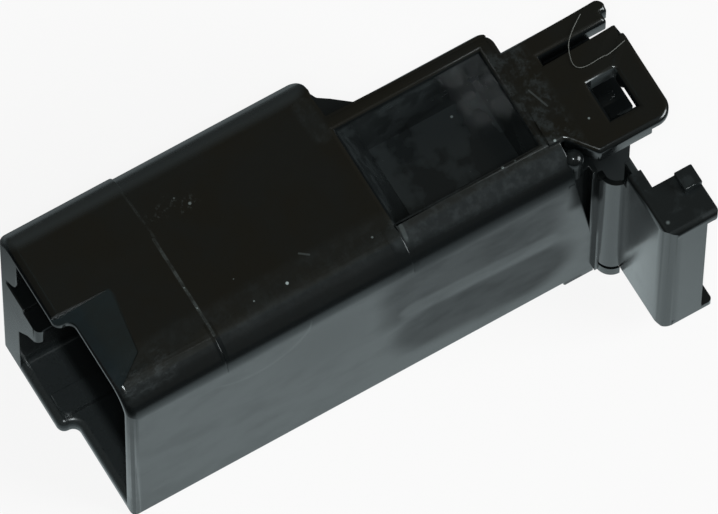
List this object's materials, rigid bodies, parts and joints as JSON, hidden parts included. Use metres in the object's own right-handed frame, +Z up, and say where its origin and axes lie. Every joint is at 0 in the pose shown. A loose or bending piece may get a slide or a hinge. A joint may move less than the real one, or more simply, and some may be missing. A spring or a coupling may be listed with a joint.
{
  "type": "automotive connector housing",
  "caption": "Rectangular connector hood with keyed mouth, male blade terminals, top pocket, rear latch plates and a living-hinge rear retainer shown open.",
  "frame": {"origin": "on the base face, in the middle of the hood's width and 10 mm behind the forward rim", "axes": "+Z up from the base face, +Y from the mating rim towards the wire side, +X towards the side that carries the hinge"},
  "size_m": [0.0187, 0.0358, 0.016],
  "materials": {
    "housing_plastic": "semi-gloss moulded black",
    "hinge_plastic": "semi-gloss moulded black",
    "retainer_plastic": "semi-gloss moulded black",
    "terminal_metal": "stamped brass"
  },
  "bodies": {
    "housing": {"housing": "housing_plastic", "left_terminal": "terminal_metal", "right_terminal": "terminal_metal"},
    "retainer": {"rear_retainer": "retainer_plastic", "living_hinge": "hinge_plastic"}
  },
  "joints": [
    {"name": "retainer_hinge", "type": "hinge", "parent": "housing", "child": "retainer", "pos_m": [0.0072, 0.0211, 0.008], "axis": [0, 0, 1], "range_deg": [0, 90], "deforming": ["living_hinge"]}
  ]
}
